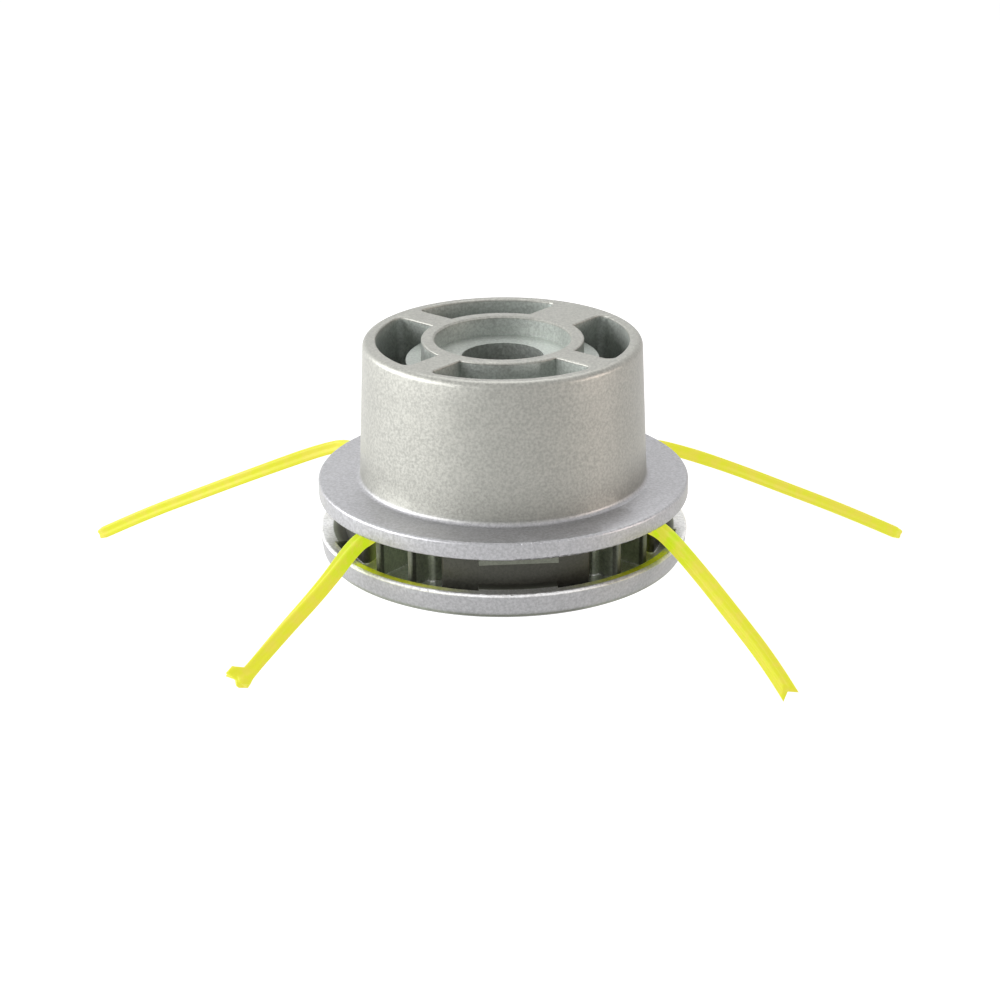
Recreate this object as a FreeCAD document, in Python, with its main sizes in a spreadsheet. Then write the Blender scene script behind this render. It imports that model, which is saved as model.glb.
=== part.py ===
"""Cast trimmer head with four stubs of cutting line, in millimetres.

The head is a drum-shaped upper casting that hangs from the machine's arbor by a round register, a dished
disc screwed up against it from below, and two pieces of line, each led round a side island of the disc.
Z points up to the machine. The origin is the centre of the register's seat, where the arbor boss lands.
Heights in the formulas are counted from the disc's underside, and each piece is then lowered to the seat.
"""

import FreeCAD, Part
import math
import os
import Sketcher
from FreeCAD import Placement, Rotation, Vector

# Driving sizes: millimetres, and degrees where the name ends in angle
SIZES = {
    "flange_diameter": 70.0,
    "flange_thickness": 3.4,
    "flange_edge_round": 0.6,
    "flange_lower_round": 0.5,
    "line_gap": 6.6,
    "barrel_height": 26.8,
    "barrel_top_diameter": 52.0,
    "barrel_draft": 1.15,
    "barrel_wall": 2.4,
    "barrel_top_round": 1.3,
    "barrel_root_round": 0.9,
    "register_diameter": 25.4,
    "register_depth": 3.65,
    "register_mouth_chamfer": 0.3,
    "collar_wall": 2.45,
    "ledge_depth": 4.15,
    "column_diameter": 36.1,
    "seat_thickness": 5.0,
    "spindle_hole_diameter": 15.3,
    "nut_well_diameter": 29.0,
    "well_mouth_chamfer": 1.0,
    "pocket_floor_thickness": 4.3,
    "pocket_draft": 0.6,
    "pocket_corner_round": 1.5,
    "pocket_mouth_round": 0.35,
    "rib_width": 5.2,
    "wide_rib_width": 10.6,
    "rib_angle": 45.0,
    "rim_height": 5.1,
    "rim_width": 2.15,
    "rim_edge_round": 0.5,
    "rim_inner_round": 0.3,
    "disc_draft": 0.7,
    "disc_foot_round": 1.8,
    "dish_depth": 2.2,
    "island_set_back": 4.8,
    "island_tip_round": 0.7,
    "arm_wall": 5.2,
    "arm_end_round": 1.0,
    "guide_slot_width": 6.6,
    "guide_slot_wall": 1.2,
    "guide_wall": 1.2,
    "guide_set_back": 1.85,
    "guide_tip_round": 0.4,
    "tab_width": 14.2,
    "tab_drop": 1.4,
    "tab_set_back": 1.9,
    "tab_clearance": 0.3,
    "pad_overlap": 1.2,
    "line_diameter": 3.0,
    "line_clearance": 0.3,
    "line_headroom": 0.21,
    "loop_radius": 24.6,
    "channel_wall": 3.8,
    "loop_half_angle": 30.0,
    "screw_circle_diameter": 37.5,
    "screw_diameter": 3.0,
    "screw_length": 16.0,
    "screw_head_diameter": 5.5,
    "screw_head_height": 3.0,
    "screw_key_width": 2.5,
    "screw_key_depth": 1.5,
    "screw_point": 0.45,
    "screw_crown": 0.35,
    "screw_hole_clearance": 0.4,
    "thread_clearance": 0.04,
    "head_clearance": 0.6,
    "head_recess": 0.4,
    "thread_run_out": 1.0,
    "rib_foot_wall": 2.2,
    "rib_foot_crown": 2.0,
}
COPIES = 4
KEY_SIDES = 6

# Free ends of line: points chosen by hand, with heights from the disc's underside. The first two points of
# each come from the loop that it continues.
LEAD = {"front_left": 5.2, "front_right": 4.8, "back_left": 7.4, "back_right": 6.2}
FREE_POINTS = {
    "front_left": [
        (-28.8, -20.6, 9.9),
        (-34.6, -26.6, 4.6),
        (-43.5, -34.3, -2.0),
        (-50.0, -41.4, -6.8),
    ],
    "front_right": [
        (28.2, -20.2, 9.7),
        (33.6, -27.6, 4.7),
        (38.3, -35.6, 0.0),
        (43.9, -43.3, -6.2),
        (46.8, -47.6, -10.6),
    ],
    "back_left": [
        (-28.2, 31.2, 10.0),
        (-33.6, 35.6, 7.6),
        (-46.0, 39.4, 2.0),
        (-60.3, 47.6, -6.2),
        (-72.4, 55.6, -13.7),
        (-81.9, 61.9, -20.1),
    ],
    "back_right": [
        (31.2, 25.8, 10.0),
        (37.6, 28.2, 7.5),
        (47.4, 29.2, 3.6),
        (62.6, 34.6, -4.8),
        (76.8, 41.3, -13.1),
        (89.4, 47.8, -21.1),
    ],
}
RUN_SHARE = 0.45


class Size:
    """A number together with the sheet formula that gives it, so that a size is written once."""

    def __init__(self, formula, value):
        self.formula = formula
        self.value = value

    def joined(self, sign, other, value):
        text = other.formula if isinstance(other, Size) else repr(other)
        return Size(f"({self.formula} {sign} {text})", value)

    def __add__(self, other):
        return self.joined("+", other, self.value + number(other))

    def __sub__(self, other):
        return self.joined("-", other, self.value - number(other))

    def __mul__(self, other):
        return self.joined("*", other, self.value * number(other))

    def __truediv__(self, other):
        return self.joined("/", other, self.value / number(other))

    def __neg__(self):
        return Size(f"(0 - {self.formula})", -self.value)


def number(size):
    return size.value if isinstance(size, Size) else float(size)


def sheet_of_sizes(doc):
    """The spreadsheet of driving sizes, one row each."""
    sheet = doc.addObject("Spreadsheet::Sheet", "Sizes")
    for row, (name, value) in enumerate(SIZES.items(), 1):
        sheet.set(f"A{row}", name)
        sheet.set(f"B{row}", str(value))
        sheet.setAlias(f"B{row}", name)
    doc.recompute()
    return sheet


def size(name):
    return Size(f"Sizes.{name}", SIZES[name])


# Radii and levels that several pieces share
ZERO = Size("0", 0.0)
FLANGE_R = size("flange_diameter") / 2
WELL_R = size("nut_well_diameter") / 2
REGISTER_R = size("register_diameter") / 2
COLLAR_R = REGISTER_R + size("collar_wall")
COLUMN_R = size("column_diameter") / 2
BARREL_TOP_R = size("barrel_top_diameter") / 2
BARREL_INNER_R = BARREL_TOP_R - size("barrel_wall")
RIM_TOP = size("rim_height")
DISH_FLOOR = RIM_TOP - size("dish_depth")
PARTING = RIM_TOP + size("line_gap")
FLANGE_TOP = PARTING + size("flange_thickness")
BARREL_TOP = FLANGE_TOP + size("barrel_height")
SEAT = BARREL_TOP - size("register_depth")
LEDGE = BARREL_TOP - size("ledge_depth")
POCKET_FLOOR = PARTING + size("pocket_floor_thickness")
LINE_R = size("line_diameter") / 2
LINE_LEVEL = PARTING - LINE_R - size("line_headroom")
ISLAND_R = FLANGE_R - size("island_set_back")
ISLAND_BACK_R = size("loop_radius") - LINE_R - size("line_clearance")
ARM_FLANK_R = size("loop_radius") + LINE_R + size("line_clearance")
LOOP_CENTRE = WELL_R + size("channel_wall") + ARM_FLANK_R
SCREW_CIRCLE_R = size("screw_circle_diameter") / 2
COUNTERBORE_R = (size("screw_head_diameter") + size("head_clearance")) / 2
ARM_R = SCREW_CIRCLE_R + COUNTERBORE_R + size("arm_wall")
GUIDE_START = SCREW_CIRCLE_R + COUNTERBORE_R + size("guide_slot_wall")
GUIDE_END = FLANGE_R - size("rim_width") - size("guide_set_back")
HEAD_SEAT = size("screw_head_height") + size("head_recess")
SCREW_END = HEAD_SEAT + size("screw_length")


def bind(thing, path, value):
    """Sets a property from a size and leaves the formula on it."""
    thing.setExpression(path, value.formula)


def new_body(doc, label):
    body = doc.addObject("PartDesign::Body", label)
    body.Label = label
    bind(body, "Placement.Base.z", -SEAT)
    return body


def new_sketch(body, role, name, level=None, turn=None):
    """A sketch on one of the body's own origin planes, raised to a level and turned about its normal."""
    sketch = body.newObject("Sketcher::SketchObject", name)
    plane = [f for f in body.Origin.OriginFeatures if f.Role == role][0]
    sketch.AttachmentSupport = [(plane, "")]
    sketch.MapMode = "FlatFace"
    if level is not None:
        sketch.AttachmentOffset = Placement(Vector(0, 0, number(level)), Rotation(Vector(0, 0, 1), 0))
        bind(sketch, "AttachmentOffset.Base.z", level)
    if turn is not None:
        bind(sketch, "AttachmentOffset.Rotation.Angle", turn)
    return sketch


def hold(sketch, kind, parts, value):
    """A dimension of the sketch that follows a size."""
    index = sketch.addConstraint(Sketcher.Constraint(kind, *parts, number(value)))
    if isinstance(value, Size):
        bind(sketch, f"Constraints[{index}]", value)


def fix_point(sketch, geometry, end, x, y):
    """Ties one point to its distances from the sketch's origin."""
    for kind, axis, value in (("DistanceX", -2, x), ("DistanceY", -1, y)):
        if number(value) == 0:
            sketch.addConstraint(Sketcher.Constraint("PointOnObject", geometry, end, axis))
        else:
            hold(sketch, kind, (-1, 1, geometry, end), value)


def outline(sketch, corners):
    """A closed chain of straight lines through corners given as pairs of sizes."""
    points = [Vector(number(x), number(y), 0) for x, y in corners]
    count = len(points)
    for i in range(count):
        sketch.addGeometry(Part.LineSegment(points[i], points[(i + 1) % count]), False)
    for i in range(count):
        sketch.addConstraint(Sketcher.Constraint("Coincident", i, 2, (i + 1) % count, 1))
    for i, (x, y) in enumerate(corners):
        fix_point(sketch, i, 1, x, y)


def disc(sketch, radius, x=0.0, y=0.0):
    """A full circle round a point of the sketch."""
    circle = Part.Circle(Vector(number(x), number(y), 0), Vector(0, 0, 1), number(radius))
    index = sketch.addGeometry(circle, False)
    fix_point(sketch, index, 3, x, y)
    hold(sketch, "Radius", (index,), radius)


def block(sketch, near, far, width):
    """A rectangle along the sketch's X axis, centred on it."""
    half = width / 2
    outline(sketch, [(near, -half), (far, -half), (far, half), (near, half)])


def revolved(body, name, corners):
    sketch = new_sketch(body, "XZ_Plane", f"{name}_outline")
    outline(sketch, corners)
    feature = body.newObject("PartDesign::Revolution", name)
    feature.Profile = sketch
    feature.ReferenceAxis = (sketch, ["V_Axis"])
    feature.Angle = 360
    body.Tip = feature
    return feature


def padded(body, name, sketch, length):
    feature = body.newObject("PartDesign::Pad", name)
    feature.Profile = sketch
    feature.Length = number(length)
    bind(feature, "Length", length)
    body.Tip = feature
    return feature


def pocketed(body, name, sketch, depth):
    """A cut that runs up from the sketch."""
    feature = body.newObject("PartDesign::Pocket", name)
    feature.Profile = sketch
    feature.Reversed = True
    feature.Length = number(depth)
    bind(feature, "Length", depth)
    body.Tip = feature
    return feature


def repeated(body, name, features):
    """Copies of features round the body's vertical axis."""
    axis = [f for f in body.Origin.OriginFeatures if f.Role == "Z_Axis"][0]
    pattern = body.newObject("PartDesign::PolarPattern", name)
    pattern.Originals = features
    pattern.Axis = (axis, [""])
    pattern.Angle = 360
    pattern.Occurrences = COPIES
    body.Tip = pattern
    return pattern


def softened(body, name, kind, chosen, amount):
    """A fillet or chamfer on the edges of the body's last feature that the test picks."""
    body.Document.recompute()
    base = body.Tip
    names = [f"Edge{i}" for i, edge in enumerate(base.Shape.Edges, 1) if chosen(edge)]
    if not names:
        raise RuntimeError(f"{name} finds no edge")
    feature = body.newObject(f"PartDesign::{kind}", name)
    feature.Base = (base, names)
    path = "Radius" if kind == "Fillet" else "Size"
    bind(feature, path, amount)
    body.Tip = feature
    return feature


# How closely an edge's own sizes match the ones asked for, and how far a drafted corner wanders
NEAR = 0.01
CORNER_REACH = 0.2


def ring_at(radius, level):
    """Picks the round edge of one radius at one height."""

    def chosen(edge):
        curve = edge.Curve
        return (
            isinstance(curve, Part.Circle)
            and abs(curve.Radius - number(radius)) < NEAR
            and abs(curve.Center.z - number(level)) < NEAR
            and math.hypot(curve.Center.x, curve.Center.y) < NEAR
        )

    return chosen


def upright_between(inner, outer, low, high):
    """Picks the edges that climb between two heights with their middle between two radii."""

    def chosen(edge):
        box = edge.BoundBox
        middle = edge.valueAt((edge.FirstParameter + edge.LastParameter) / 2)
        tall = box.ZLength > (number(high) - number(low)) / 2
        inside = number(inner) < math.hypot(middle.x, middle.y) < number(outer)
        return tall and inside and box.ZMin > number(low) - NEAR and box.ZMax < number(high) + NEAR

    return chosen


def level_within(inner, outer, level):
    """Picks the edges that lie flat at one height with their middle between two radii."""

    def chosen(edge):
        box = edge.BoundBox
        middle = edge.valueAt((edge.FirstParameter + edge.LastParameter) / 2)
        flat = abs(box.ZMin - number(level)) < NEAR and abs(box.ZMax - number(level)) < NEAR
        return flat and number(inner) < math.hypot(middle.x, middle.y) < number(outer)

    return chosen


def upper_housing(doc):
    """Barrel, collar, column and flange in one casting, with ribs, screw bosses and locating tabs."""
    body = new_body(doc, "upper_housing")
    barrel_base_r = BARREL_TOP_R + size("barrel_draft")
    draft = size("pocket_draft")
    seat_under = SEAT - size("seat_thickness")
    spindle_r = size("spindle_hole_diameter") / 2
    revolved(
        body,
        "drum",
        [
            (spindle_r, PARTING),
            (FLANGE_R, PARTING),
            (FLANGE_R, FLANGE_TOP),
            (barrel_base_r, FLANGE_TOP),
            (BARREL_TOP_R, BARREL_TOP),
            (BARREL_INNER_R, BARREL_TOP),
            (BARREL_INNER_R - draft, POCKET_FLOOR),
            (COLUMN_R + draft, POCKET_FLOOR),
            (COLUMN_R, LEDGE),
            (COLLAR_R, LEDGE),
            (COLLAR_R, BARREL_TOP),
            (REGISTER_R, BARREL_TOP),
            (REGISTER_R, SEAT),
            (spindle_r, SEAT),
        ],
    )
    rib_height = BARREL_TOP - POCKET_FLOOR
    rib_start = REGISTER_R + size("collar_wall") / 2
    rib_end = BARREL_INNER_R + size("barrel_wall") / 2
    turn = size("rib_angle")
    wide_sketch = new_sketch(body, "XY_Plane", "wide_rib_outline", POCKET_FLOOR, turn)
    block(wide_sketch, rib_start, rib_end, size("wide_rib_width"))
    padded(body, "wide_rib", wide_sketch, rib_height)
    rib_sketch = new_sketch(body, "XY_Plane", "rib_outline", POCKET_FLOOR, turn)
    block(rib_sketch, rib_start, rib_end, size("rib_width"))
    rib = padded(body, "rib", rib_sketch, rib_height)
    repeated(body, "fourfold_ribs", [rib])
    wall_foot_r = BARREL_INNER_R - draft - CORNER_REACH
    corner = upright_between(wall_foot_r, BARREL_INNER_R + CORNER_REACH, POCKET_FLOOR, BARREL_TOP)
    softened(body, "pocket_corners", "Fillet", corner, size("pocket_corner_round"))
    thread_top = SCREW_END + size("thread_run_out")
    foot_sketch = new_sketch(body, "XY_Plane", "rib_foot_outline", POCKET_FLOOR, turn)
    block(foot_sketch, rib_start, rib_end, size("screw_diameter") + size("rib_foot_wall") * 2)
    foot = padded(body, "rib_foot", foot_sketch, thread_top + size("rib_foot_crown") - POCKET_FLOOR)
    tab_sketch = new_sketch(body, "XY_Plane", "tab_outline", PARTING - size("tab_drop"))
    tab_start = ISLAND_R + size("tab_clearance")
    block(tab_sketch, tab_start, FLANGE_R - size("tab_set_back"), size("tab_width"))
    tab = padded(body, "locating_tab", tab_sketch, size("tab_drop"))
    hole_sketch = new_sketch(body, "XY_Plane", "thread_outline", PARTING, turn)
    disc(hole_sketch, size("screw_diameter") / 2, SCREW_CIRCLE_R)
    hole = pocketed(body, "thread_hole", hole_sketch, thread_top - PARTING)
    repeated(body, "fourfold_feet", [foot, tab, hole])
    well_sketch = new_sketch(body, "XY_Plane", "nut_well_outline", PARTING)
    disc(well_sketch, WELL_R)
    pocketed(body, "nut_well", well_sketch, seat_under - PARTING)
    mouth = level_within(COLLAR_R - NEAR, BARREL_INNER_R + NEAR, BARREL_TOP)
    softened(body, "pocket_mouths", "Fillet", mouth, size("pocket_mouth_round"))
    softened(body, "barrel_crown", "Fillet", ring_at(BARREL_TOP_R, BARREL_TOP), size("barrel_top_round"))
    softened(body, "barrel_root", "Fillet", ring_at(barrel_base_r, FLANGE_TOP), size("barrel_root_round"))
    softened(body, "flange_edge", "Fillet", ring_at(FLANGE_R, FLANGE_TOP), size("flange_edge_round"))
    softened(body, "flange_lower_edge", "Fillet", ring_at(FLANGE_R, PARTING), size("flange_lower_round"))
    register_mouth = ring_at(REGISTER_R, BARREL_TOP)
    softened(body, "register_mouth", "Chamfer", register_mouth, size("register_mouth_chamfer"))
    return body


def add_arc(sketch, centre, radius, start, end):
    """An arc that runs the positive way from one point to another."""
    angles = [math.atan2(p[1] - centre[1], p[0] - centre[0]) for p in (start, end)]
    while angles[1] < angles[0]:
        angles[1] += 2 * math.pi
    circle = Part.Circle(Vector(*centre, 0), Vector(0, 0, 1), radius)
    return sketch.addGeometry(Part.ArcOfCircle(circle, *angles), False)


def crossing(radius, flank_radius):
    """Where a circle round the axis meets the line's circle, as distances along and across."""
    distance = number(LOOP_CENTRE)
    along = (distance**2 + radius**2 - flank_radius**2) / (2 * distance)
    return along, math.sqrt(radius**2 - along**2)


def island_outline(sketch):
    """A lens between the disc's own circle and the back of the line's circle."""
    radius = number(ISLAND_R)
    back = number(ISLAND_BACK_R)
    along, across = crossing(radius, back)
    front_arc = add_arc(sketch, (0, 0), radius, (along, -across), (along, across))
    back_arc = add_arc(sketch, (number(LOOP_CENTRE), 0), back, (along, across), (along, -across))
    fix_point(sketch, front_arc, 3, 0.0, 0.0)
    fix_point(sketch, back_arc, 3, LOOP_CENTRE, 0.0)
    hold(sketch, "Radius", (front_arc,), ISLAND_R)
    hold(sketch, "Radius", (back_arc,), ISLAND_BACK_R)
    sketch.addConstraint(Sketcher.Constraint("Coincident", front_arc, 2, back_arc, 1))
    sketch.addConstraint(Sketcher.Constraint("Coincident", back_arc, 2, front_arc, 1))


def turned(x, y, east, north):
    """A point of the first quarter carried to the quarter that faces along east and north."""
    return (x * east - y * north, x * north + y * east)


def star_outline(sketch):
    """Four hollow flanks that follow the line, joined by the ends of four arms, round the nut well."""
    radius = number(ARM_R)
    flank = number(ARM_FLANK_R)
    along, across = crossing(radius, flank)
    ends = []
    flanks = []
    for quarter in range(COPIES):
        turn = math.radians(360 / COPIES * quarter)
        east = round(math.cos(turn))
        north = round(math.sin(turn))
        centre = turned(number(LOOP_CENTRE), 0, east, north)
        upper = turned(along, across, east, north)
        lower = turned(along, -across, east, north)
        beyond = turned(across, along, east, north)
        flanks.append(add_arc(sketch, centre, flank, upper, lower))
        fix_point(sketch, flanks[-1], 3, LOOP_CENTRE * east, LOOP_CENTRE * north)
        hold(sketch, "Radius", (flanks[-1],), ARM_FLANK_R)
        ends.append(add_arc(sketch, (0, 0), radius, upper, beyond))
        fix_point(sketch, ends[-1], 3, 0.0, 0.0)
        hold(sketch, "Radius", (ends[-1],), ARM_R)
    for quarter in range(COPIES):
        following = flanks[(quarter + 1) % COPIES]
        sketch.addConstraint(Sketcher.Constraint("Coincident", ends[quarter], 1, flanks[quarter], 1))
        sketch.addConstraint(Sketcher.Constraint("Coincident", ends[quarter], 2, following, 2))
    disc(sketch, WELL_R)


def lower_disc(doc):
    """Dished disc with a raised rim, four islands, a four-armed centre, stiffening pads and screw holes."""
    body = new_body(doc, "lower_disc")
    foot_r = FLANGE_R - size("disc_draft")
    rim_inner_r = FLANGE_R - size("rim_width")
    revolved(
        body,
        "dish",
        [
            (WELL_R, ZERO),
            (foot_r, ZERO),
            (FLANGE_R, RIM_TOP),
            (rim_inner_r, RIM_TOP),
            (rim_inner_r, DISH_FLOOR),
            (WELL_R, DISH_FLOOR),
        ],
    )
    softened(body, "foot_edge", "Fillet", ring_at(foot_r, ZERO), size("disc_foot_round"))
    softened(body, "rim_edge", "Fillet", ring_at(FLANGE_R, RIM_TOP), size("rim_edge_round"))
    softened(body, "well_mouth", "Chamfer", ring_at(WELL_R, ZERO), size("well_mouth_chamfer"))
    relief = PARTING - DISH_FLOOR
    star_sketch = new_sketch(body, "XY_Plane", "star_outline", DISH_FLOOR)
    star_outline(star_sketch)
    padded(body, "star", star_sketch, relief)
    arm_end = upright_between(ARM_R - NEAR, ARM_R + NEAR, DISH_FLOOR, PARTING)
    softened(body, "arm_ends", "Fillet", arm_end, size("arm_end_round"))
    island_sketch = new_sketch(body, "XY_Plane", "island_outline", DISH_FLOOR)
    island_outline(island_sketch)
    island = padded(body, "island", island_sketch, relief)
    pad_sketch = new_sketch(body, "XY_Plane", "pad_outline", DISH_FLOOR)
    pad_start = ISLAND_R - size("pad_overlap")
    block(pad_sketch, pad_start, FLANGE_R - size("rim_width") / 2, size("tab_width"))
    pad = padded(body, "stiffening_pad", pad_sketch, size("dish_depth"))
    turn = size("rib_angle")
    guide_sketch = new_sketch(body, "XY_Plane", "line_guide_outline", DISH_FLOOR, turn)
    guide_width = size("guide_slot_width") + size("guide_wall") * 2
    block(guide_sketch, SCREW_CIRCLE_R, GUIDE_END, guide_width)
    guide = padded(body, "line_guide", guide_sketch, relief)
    slot_sketch = new_sketch(body, "XY_Plane", "guide_slot_outline", DISH_FLOOR, turn)
    block(slot_sketch, GUIDE_START, GUIDE_END + size("guide_wall"), size("guide_slot_width"))
    slot = pocketed(body, "guide_slot", slot_sketch, relief)
    hole_sketch = new_sketch(body, "XY_Plane", "screw_hole_outline", None, turn)
    disc(hole_sketch, (size("screw_diameter") + size("screw_hole_clearance")) / 2, SCREW_CIRCLE_R)
    hole = pocketed(body, "screw_hole", hole_sketch, PARTING)
    head_sketch = new_sketch(body, "XY_Plane", "counterbore_outline", None, turn)
    disc(head_sketch, COUNTERBORE_R, SCREW_CIRCLE_R)
    counterbore = pocketed(body, "counterbore", head_sketch, HEAD_SEAT)
    repeated(body, "fourfold_disc", [island, pad, guide, slot, hole, counterbore])
    tip = upright_between(ISLAND_R - NEAR, ISLAND_R + NEAR, DISH_FLOOR, PARTING)
    softened(body, "island_tips", "Fillet", tip, size("island_tip_round"))
    guide_tip = upright_between(GUIDE_END + NEAR, GUIDE_END + size("guide_wall"), DISH_FLOOR, PARTING)
    softened(body, "guide_tips", "Fillet", guide_tip, size("guide_tip_round"))
    rim_mouth = level_within(rim_inner_r - NEAR, rim_inner_r + NEAR, RIM_TOP)
    softened(body, "rim_mouth", "Fillet", rim_mouth, size("rim_inner_round"))
    return body


def clamp_screw(doc):
    """One cap screw, head down, standing on the axis; the four placed copies are made from it."""
    body = doc.addObject("PartDesign::Body", "clamp_screw_pattern")
    shank_r = (size("screw_diameter") - size("thread_clearance")) / 2
    head_r = size("screw_head_diameter") / 2
    recess = size("head_recess")
    point = size("screw_point")
    nose = shank_r - point
    crown = size("screw_crown")
    revolved(
        body,
        "screw",
        [
            (ZERO, recess),
            (head_r - crown, recess),
            (head_r, recess + crown),
            (head_r, HEAD_SEAT),
            (shank_r, HEAD_SEAT),
            (shank_r, SCREW_END - point),
            (nose, SCREW_END),
            (ZERO, SCREW_END),
        ],
    )
    key = new_sketch(body, "XY_Plane", "key_outline", recess)
    corner_r = size("screw_key_width") / math.sqrt(3)
    corners = []
    for i in range(KEY_SIDES):
        angle = math.radians(360 / KEY_SIDES * i)
        across = round(math.sin(angle), 9)
        along = round(math.cos(angle), 9)
        corners.append((corner_r * along, corner_r * across if across else 0.0))
    outline(key, corners)
    pocketed(body, "key_socket", key, size("screw_key_depth"))
    return body


def clamp_screws(doc, pattern_body):
    """The four screws on their circle, as one group of separate solids."""
    screws = []
    for i in range(COPIES):
        turn = Rotation(Vector(0, 0, 1), SIZES["rib_angle"] + 360 / COPIES * i)
        spot = turn.multVec(Vector(number(SCREW_CIRCLE_R), 0, 0))
        screw = pattern_body.Shape.copy()
        screw.Placement = Placement(spot, turn)
        screws.append(screw)
    group = doc.addObject("Part::Feature", "clamp_screws")
    group.Label = "clamp_screws"
    group.Shape = Part.makeCompound(screws)
    group.Placement = Placement(Vector(0, 0, -number(SEAT)), Rotation())
    return group


def line_loop(doc, side_name, side):
    """The stretch of line that bends round the back of a side island; side is -1 for left and 1 for right."""
    loop = doc.addObject("Part::Torus", f"{side_name}_line_loop")
    loop.Label = f"{side_name}_line_loop"
    half = size("loop_half_angle")
    bind(loop, "Radius1", size("loop_radius"))
    bind(loop, "Radius2", LINE_R)
    bind(loop, "Angle3", half * 2)
    loop.Placement = Placement(Vector(), Rotation(Vector(0, 0, 1), 90 * (1 + side) - number(half)))
    bind(loop, "Placement.Base.x", LOOP_CENTRE * side)
    bind(loop, "Placement.Base.z", LINE_LEVEL - SEAT)
    return loop


def loop_end(side, way):
    """The point where a loop ends and the direction in which its line goes on."""
    half = math.radians(SIZES["loop_half_angle"])
    radius = SIZES["loop_radius"]
    x = side * (number(LOOP_CENTRE) - radius * math.cos(half))
    y = way * radius * math.sin(half)
    ahead = Vector(side * math.sin(half), way * math.cos(half), 0)
    return Vector(x, y, number(LINE_LEVEL)), ahead


def smooth_path(points):
    """Straight runs joined by tangent arcs, each as large as its two runs allow."""
    edges = []
    radii = []
    here = points[0]
    for before, corner, after in zip(points, points[1:], points[2:]):
        run_in = corner - before
        run_out = after - corner
        half_turn = run_in.getAngle(run_out) / 2
        cut = RUN_SHARE * min(run_in.Length, run_out.Length)
        radii.append(cut / math.tan(half_turn))
        arc_in = corner - run_in.normalize() * cut
        arc_out = corner + run_out.normalize() * cut
        bisector = (arc_in + arc_out) * 0.5 - corner
        middle = corner + bisector.normalize() * (radii[-1] / math.cos(half_turn) - radii[-1])
        edges.append(Part.LineSegment(here, arc_in).toShape())
        edges.append(Part.Arc(arc_in, middle, arc_out).toShape())
        here = arc_out
    edges.append(Part.LineSegment(here, points[-1]).toShape())
    return Part.Wire(edges), radii


def free_end(doc, name):
    """One stub of line, from the end of its loop out through the gap and down to its cut tip."""
    side = -1 if name.endswith("left") else 1
    way = -1 if name.startswith("front") else 1
    start, ahead = loop_end(side, way)
    points = [start, start + ahead * LEAD[name]] + [Vector(*p) for p in FREE_POINTS[name]]
    path, radii = smooth_path(points)
    section = Part.Wire(Part.Circle(start, ahead, number(LINE_R)).toShape())
    stub = doc.addObject("Part::Feature", f"{name}_line_end")
    stub.Label = f"{name}_line_end"
    stub.Shape = path.makePipeShell([section], True, True)
    stub.Placement = Placement(Vector(0, 0, -number(SEAT)), Rotation())
    ideal = math.pi * number(LINE_R) ** 2 * path.Length
    print(
        f"{name}: {path.Length:.1f} mm long, radii {[round(r, 1) for r in radii]}, "
        f"volume {stub.Shape.Volume / ideal:.4f} of section times length"
    )
    return stub


def checked(doc, pieces):
    """Stops if any object failed or any piece has no sound shape."""
    doc.recompute()
    for thing in doc.Objects:
        if "Invalid" in thing.State or "Error" in thing.State:
            raise RuntimeError(f"{thing.Name} failed: {thing.State}")
    for piece in pieces:
        shape = piece.Shape
        if shape.isNull() or not shape.isValid() or not shape.Solids:
            raise RuntimeError(f"{piece.Label} has no sound shape")
        print(f"{piece.Label}: {len(shape.Solids)} solids, {shape.Volume:.0f} mm3, {shape.BoundBox}")


def main():
    doc = FreeCAD.newDocument("TrimmerHead")
    sheet_of_sizes(doc)
    pieces = [upper_housing(doc), lower_disc(doc)]
    pattern_body = clamp_screw(doc)
    doc.recompute()
    pieces.append(clamp_screws(doc, pattern_body))
    pieces.append(line_loop(doc, "left", -1))
    pieces.append(line_loop(doc, "right", 1))
    for name in FREE_POINTS:
        pieces.append(free_end(doc, name))
    checked(doc, pieces)
    os.makedirs("parts", exist_ok=True)
    for piece in pieces:
        piece.Shape.exportStep(f"parts/{piece.Label}.step")


main()
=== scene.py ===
"""Looks for the cast trimmer head: blasted castings, plated screws, twisted cutting line and a plain studio.

The castings and screws keep the frame's shapes. The four free stubs of line and the two hidden bends between
them are swept here from their own section. Lengths are in metres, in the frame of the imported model.
"""

import math

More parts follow.
